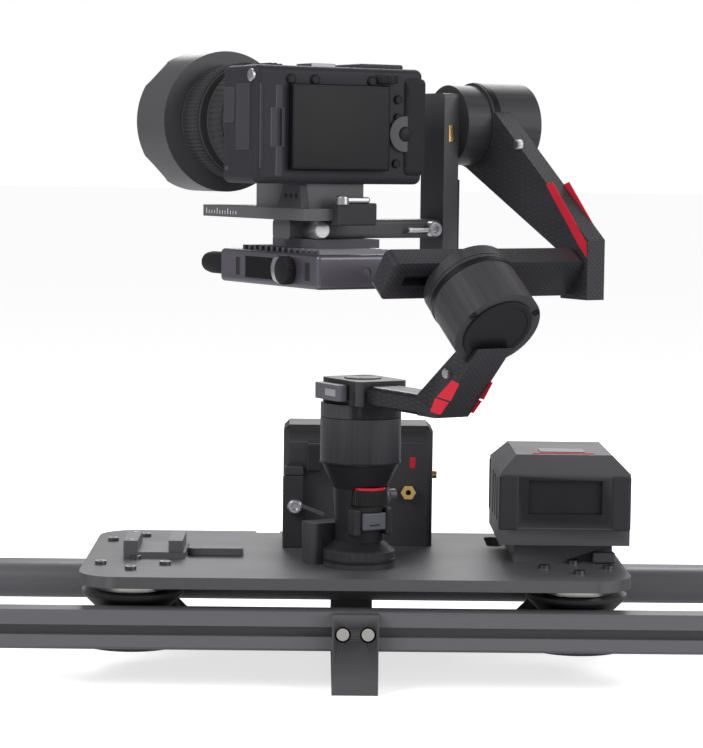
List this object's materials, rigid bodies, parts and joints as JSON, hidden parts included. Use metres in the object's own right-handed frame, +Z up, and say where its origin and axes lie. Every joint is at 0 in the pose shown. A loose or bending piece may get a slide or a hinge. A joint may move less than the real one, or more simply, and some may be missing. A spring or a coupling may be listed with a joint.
{
  "type": "camera slider",
  "caption": "Motorised twin-rail camera slider with a rolling carriage, battery, accessory clamp and a three-axis gimbal holding a camera with hooded lens.",
  "frame": {"origin": "mouth of the tripod thread under the centre bracket", "axes": "+X along the rails, +Y away from the operator, +Z up"},
  "size_m": [0.84, 0.3386, 0.437],
  "materials": {
    "rail_black": "satin anodised",
    "plate_black": "satin anodised",
    "rubber": "matte",
    "steel_dark": "polished",
    "steel": "polished",
    "box_black": "matte",
    "brass": "polished",
    "motor_black": "satin",
    "battery_plastic": "matte",
    "display_grey": "satin",
    "trigger_grey": "satin",
    "red_trim": "satin",
    "carbon": "satin weave",
    "camera_grey": "textured",
    "lens_black": "satin",
    "glass": "polished",
    "transmitter_metal": "satin",
    "silver": "satin",
    "screen_black": "gloss",
    "wheel_black": "satin"
  },
  "bodies": {
    "rails": {"rail_front": "rail_black", "rail_rear": "rail_black", "end_plates": "plate_black", "levelling_feet": "rubber", "end_screws": "steel_dark", "support_bracket": "plate_black", "support_foot": "plate_black", "bracket_screws": "steel"},
    "carriage": {"carriage_plate": "plate_black", "wheel_spacers": "steel", "wheel_axles": "steel", "wheel_bearings": "steel", "plate_screws": "steel_dark", "control_box": "box_black", "control_box_cover": "box_black", "box_connectors": "brass", "battery_plate": "plate_black", "clamp_base": "plate_black", "gimbal_handle": "motor_black", "gimbal_saddle": "motor_black"},
    "wheel_front_left": {"wheel_front_left": "wheel_black"},
    "wheel_front_right": {"wheel_front_right": "wheel_black"},
    "wheel_rear_left": {"wheel_rear_left": "wheel_black"},
    "wheel_rear_right": {"wheel_rear_right": "wheel_black"},
    "battery": {"battery": "battery_plastic", "battery_window": "display_grey"},
    "clamp_jaw": {"clamp_jaw": "plate_black"},
    "clamp_lever": {"clamp_lever": "plate_black"},
    "trigger": {"trigger": "trigger_grey"},
    "front_dial": {"front_dial": "rubber", "dial_ring": "red_trim"},
    "pan_stage": {"pan_rotor": "motor_black", "pan_arm": "carbon", "roll_motor": "motor_black"},
    "arm_lock_lever": {"arm_lock_lever": "trigger_grey"},
    "roll_stage": {"roll_rotor": "motor_black", "roll_bar": "carbon", "upright_arm": "carbon", "tilt_motor": "motor_black"},
    "tilt_stage": {"tilt_rotor": "motor_black", "tilt_arm": "plate_black", "crossbar": "plate_black", "camera_plate": "plate_black", "camera_riser": "plate_black", "camera_body": "camera_grey", "lens_barrel": "lens_black", "lens_hood": "lens_black", "front_glass": "glass", "transmitter": "transmitter_metal", "transmitter_fins": "transmitter_metal", "transmitter_mount": "plate_black", "antennas": "rubber"},
    "crossbar_knob": {"crossbar_knob": "silver"},
    "zoom_ring": {"zoom_ring": "rubber"},
    "focus_ring": {"focus_ring": "rubber"},
    "camera_screen": {"camera_screen": "screen_black"},
    "control_wheel": {"control_wheel": "lens_black"},
    "transmitter_knob": {"transmitter_knob": "silver"}
  },
  "joints": [
    {"name": "carriage_slide", "type": "slide", "parent": "rails", "child": "carriage", "axis": [1, 0, 0], "range_m": [-0.18, 0.18]},
    {"name": "spin_front_left", "type": "hinge", "parent": "carriage", "child": "wheel_front_left", "pos_m": [-0.155, -0.054, 0.0415], "axis": [0, 0, 1], "continuous": true},
    {"name": "spin_front_right", "type": "hinge", "parent": "carriage", "child": "wheel_front_right", "pos_m": [0.155, -0.054, 0.0415], "axis": [0, 0, 1], "continuous": true},
    {"name": "spin_rear_left", "type": "hinge", "parent": "carriage", "child": "wheel_rear_left", "pos_m": [-0.155, 0.054, 0.0415], "axis": [0, 0, 1], "continuous": true},
    {"name": "spin_rear_right", "type": "hinge", "parent": "carriage", "child": "wheel_rear_right", "pos_m": [0.155, 0.054, 0.0415], "axis": [0, 0, 1], "continuous": true},
    {"name": "battery_lift", "type": "slide", "parent": "carriage", "child": "battery", "axis": [0, 0, 1], "range_m": [0, 0.025]},
    {"name": "clamp_lever_turn", "type": "hinge", "parent": "carriage", "child": "clamp_lever", "pos_m": [-0.1135, -0.008, 0.08], "axis": [0, 0, 1], "range_deg": [0, 90]},
    {"name": "clamp_jaw_slide", "type": "slide", "parent": "carriage", "child": "clamp_jaw", "axis": [-1, 0, 0], "range_m": [0, 0.004]},
    {"name": "trigger_press", "type": "slide", "parent": "carriage", "child": "trigger", "axis": [-0.5, 0.866, 0], "range_m": [0, 0.0025], "stiffness_N_per_m": 400},
    {"name": "dial_turn", "type": "hinge", "parent": "carriage", "child": "front_dial", "pos_m": [0.0085, -0.05953, 0.127], "axis": [0, 0, 1], "continuous": true},
    {"name": "pan", "type": "hinge", "parent": "carriage", "child": "pan_stage", "pos_m": [0.003, -0.05, 0.19], "axis": [0, 0, 1], "continuous": true},
    {"name": "arm_lock_turn", "type": "hinge", "parent": "pan_stage", "child": "arm_lock_lever", "pos_m": [-0.02648, -0.04854, 0.2], "axis": [0, 0, 1], "range_deg": [-90, 0]},
    {"name": "roll", "type": "hinge", "parent": "pan_stage", "child": "roll_stage", "pos_m": [0.003, -0.05, 0.386], "axis": [-0.3929, 0.6806, 0.6184], "range_deg": [-35, 35]},
    {"name": "tilt", "type": "hinge", "parent": "roll_stage", "child": "tilt_stage", "pos_m": [0.003, -0.05, 0.386], "axis": [0.866, 0.5, 0], "range_deg": [-60, 60]},
    {"name": "knob_turn", "type": "hinge", "parent": "tilt_stage", "child": "crossbar_knob", "pos_m": [-0.0303, -0.09232, 0.3135], "axis": [0.5, -0.866, 0], "continuous": true},
    {"name": "zoom_turn", "type": "hinge", "parent": "tilt_stage", "child": "zoom_ring", "pos_m": [-0.0654, -0.03753, 0.387], "axis": [-0.5, 0.866, 0], "range_deg": [-45, 45]},
    {"name": "focus_turn", "type": "hinge", "parent": "tilt_stage", "child": "focus_ring", "pos_m": [-0.0829, -0.00722, 0.387], "axis": [-0.5, 0.866, 0], "continuous": true},
    {"name": "screen_hinge", "type": "hinge", "parent": "tilt_stage", "child": "camera_screen", "pos_m": [-0.04745, -0.13432, 0.38], "axis": [0, 0, 1], "range_deg": [-170, 0]},
    {"name": "control_wheel_turn", "type": "hinge", "parent": "tilt_stage", "child": "control_wheel", "pos_m": [0.02933, -0.08791, 0.3785], "axis": [0.5, -0.866, 0], "continuous": true},
    {"name": "transmitter_knob_turn", "type": "hinge", "parent": "tilt_stage", "child": "transmitter_knob", "pos_m": [-0.04845, -0.11088, 0.2865], "axis": [-0.866, -0.5, 0], "continuous": true}
  ],
  "couplings": [
    {"joint": "spin_front_left", "follows": "carriage_slide", "rad_per_m": -34.247},
    {"joint": "spin_front_right", "follows": "carriage_slide", "rad_per_m": -34.247},
    {"joint": "spin_rear_left", "follows": "carriage_slide", "rad_per_m": 34.247},
    {"joint": "spin_rear_right", "follows": "carriage_slide", "rad_per_m": 34.247},
    {"joint": "clamp_jaw_slide", "follows": "clamp_lever_turn", "m_per_rad": 0.002496}
  ]
}
